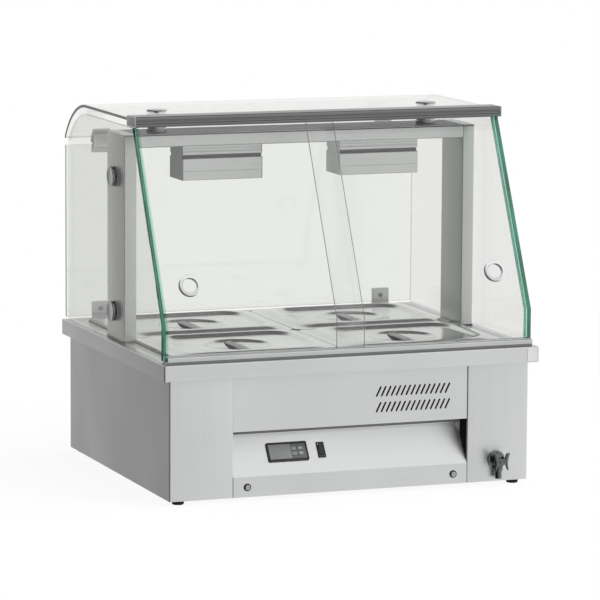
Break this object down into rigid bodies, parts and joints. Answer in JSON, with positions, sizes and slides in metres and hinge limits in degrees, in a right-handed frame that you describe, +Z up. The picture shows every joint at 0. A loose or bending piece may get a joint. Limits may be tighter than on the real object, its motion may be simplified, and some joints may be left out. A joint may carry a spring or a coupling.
{
  "type": "bain-marie display case",
  "caption": "Countertop heated display case: steel water-bath base with lidded pans, heat lamps, curved glass canopy and sliding glass service doors.",
  "frame": {"origin": "centre of the base at counter level, under the middle of the bounding box", "axes": "+X to the right seen from the service side, +Y to the customer side, +Z up"},
  "size_m": [0.73, 0.636, 0.686],
  "materials": {
    "steel_sheet": "fine brushed",
    "steel_fittings": "satin",
    "steel_pans": "bright satin",
    "clear_glass": "clear, polished edges",
    "aluminium_profile": "anodised satin",
    "black_plastic": "matt",
    "dark_window": "gloss",
    "black_rubber": "matt",
    "plated_brass": "dark nickel plate",
    "quartz_lamp": "frosted quartz, white ends",
    "badge_enamel": "plain enamel"
  },
  "bodies": {
    "base": {"back_panel": "steel_sheet", "base_plate": "steel_sheet", "blank_badge": "badge_enamel", "cable_gland": "black_plastic", "control_panel": "steel_sheet", "controller_housing": "black_plastic", "controller_window": "dark_window", "drain_pipe": "steel_fittings", "drain_valve_body": "plated_brass", "feet": "black_rubber", "front_rail": "aluminium_profile", "glass_fixing_discs": "steel_fittings", "glass_washers": "black_rubber", "heating_element": "steel_fittings", "left_heat_lamp": "quartz_lamp", "left_lamp_housing": "steel_fittings", "left_post": "steel_sheet", "left_side_glass": "clear_glass", "left_side_panel": "steel_sheet", "pan_support_bars": "steel_fittings", "panel_screws": "steel_fittings", "rear_glass_stops": "steel_fittings", "rear_hinge_fixed_leaves": "steel_fittings", "right_heat_lamp": "quartz_lamp", "right_lamp_housing": "steel_fittings", "right_post": "steel_sheet", "right_side_glass": "clear_glass", "right_side_panel": "steel_sheet", "roof_glass": "clear_glass", "roof_standoffs": "steel_fittings", "safety_thermostat": "steel_fittings", "switch_frame": "black_plastic", "temperature_probe": "steel_fittings", "terminal_block": "black_plastic", "top_beam": "steel_sheet", "top_track": "aluminium_profile", "track_end_caps": "aluminium_profile", "vent_panel": "steel_sheet", "water_tank": "steel_sheet", "worktop": "steel_sheet"},
    "left_door": {"left_door": "clear_glass", "left_door_pull": "steel_fittings"},
    "right_door": {"right_door": "clear_glass", "right_door_pull": "steel_fittings"},
    "rear_flap": {"rear_glass": "clear_glass", "rear_hinge_moving_leaves": "steel_fittings"},
    "power_rocker": {"switch_rocker": "black_plastic"},
    "drain_handle": {"drain_valve_plug": "black_plastic"},
    "button_set": {"controller_button_set": "black_plastic"},
    "button_up": {"controller_button_up": "black_plastic"},
    "button_standby": {"controller_button_standby": "black_plastic"},
    "button_down": {"controller_button_down": "black_plastic"},
    "front_left_pan": {"front_left_pan": "steel_pans"},
    "front_left_lid": {"front_left_lid": "steel_pans"},
    "front_right_pan": {"front_right_pan": "steel_pans"},
    "front_right_lid": {"front_right_lid": "steel_pans"},
    "rear_left_pan": {"rear_left_pan": "steel_pans"},
    "rear_left_lid": {"rear_left_lid": "steel_pans"},
    "rear_right_pan": {"rear_right_pan": "steel_pans"},
    "rear_right_lid": {"rear_right_lid": "steel_pans"}
  },
  "joints": [
    {"name": "left_door_slide", "type": "slide", "parent": "base", "child": "left_door", "axis": [1, 0, 0], "range_m": [0, 0.334]},
    {"name": "right_door_slide", "type": "slide", "parent": "base", "child": "right_door", "axis": [-1, 0, 0], "range_m": [0, 0.334]},
    {"name": "rear_flap_hinge", "type": "hinge", "parent": "base", "child": "rear_flap", "pos_m": [0, 0.304, 0.60091], "axis": [1, 0, 0], "range_deg": [0, 75]},
    {"name": "power_rocker_hinge", "type": "hinge", "parent": "base", "child": "power_rocker", "pos_m": [-0.05, -0.26247, 0.08169], "axis": [-1, 0, 0], "range_deg": [0, 18]},
    {"name": "drain_handle_turn", "type": "hinge", "parent": "base", "child": "drain_handle", "pos_m": [0.287, -0.3155, 0.048], "axis": [0, 1, 0], "range_deg": [0, 90]},
    {"name": "button_set_press", "type": "slide", "parent": "base", "child": "button_set", "axis": [0, 0.8209, -0.5711], "range_m": [0, 0.0008], "stiffness_N_per_m": 300},
    {"name": "button_up_press", "type": "slide", "parent": "base", "child": "button_up", "axis": [0, 0.8209, -0.5711], "range_m": [0, 0.0008], "stiffness_N_per_m": 300},
    {"name": "button_standby_press", "type": "slide", "parent": "base", "child": "button_standby", "axis": [0, 0.8209, -0.5711], "range_m": [0, 0.0008], "stiffness_N_per_m": 300},
    {"name": "button_down_press", "type": "slide", "parent": "base", "child": "button_down", "axis": [0, 0.8209, -0.5711], "range_m": [0, 0.0008], "stiffness_N_per_m": 300},
    {"name": "front_left_pan_lift", "type": "slide", "parent": "base", "child": "front_left_pan", "axis": [0, 0, 1], "range_m": [0, 0.04]},
    {"name": "front_left_lid_lift", "type": "slide", "parent": "front_left_pan", "child": "front_left_lid", "axis": [0, 0, 1], "range_m": [0, 0.03]},
    {"name": "rear_left_pan_lift", "type": "slide", "parent": "base", "child": "rear_left_pan", "axis": [0, 0, 1], "range_m": [0, 0.105]},
    {"name": "rear_left_lid_lift", "type": "slide", "parent": "rear_left_pan", "child": "rear_left_lid", "axis": [0, 0, 1], "range_m": [0, 0.06]},
    {"name": "front_right_pan_lift", "type": "slide", "parent": "base", "child": "front_right_pan", "axis": [0, 0, 1], "range_m": [0, 0.04]},
    {"name": "front_right_lid_lift", "type": "slide", "parent": "front_right_pan", "child": "front_right_lid", "axis": [0, 0, 1], "range_m": [0, 0.03]},
    {"name": "rear_right_pan_lift", "type": "slide", "parent": "base", "child": "rear_right_pan", "axis": [0, 0, 1], "range_m": [0, 0.105]},
    {"name": "rear_right_lid_lift", "type": "slide", "parent": "rear_right_pan", "child": "rear_right_lid", "axis": [0, 0, 1], "range_m": [0, 0.06]}
  ]
}
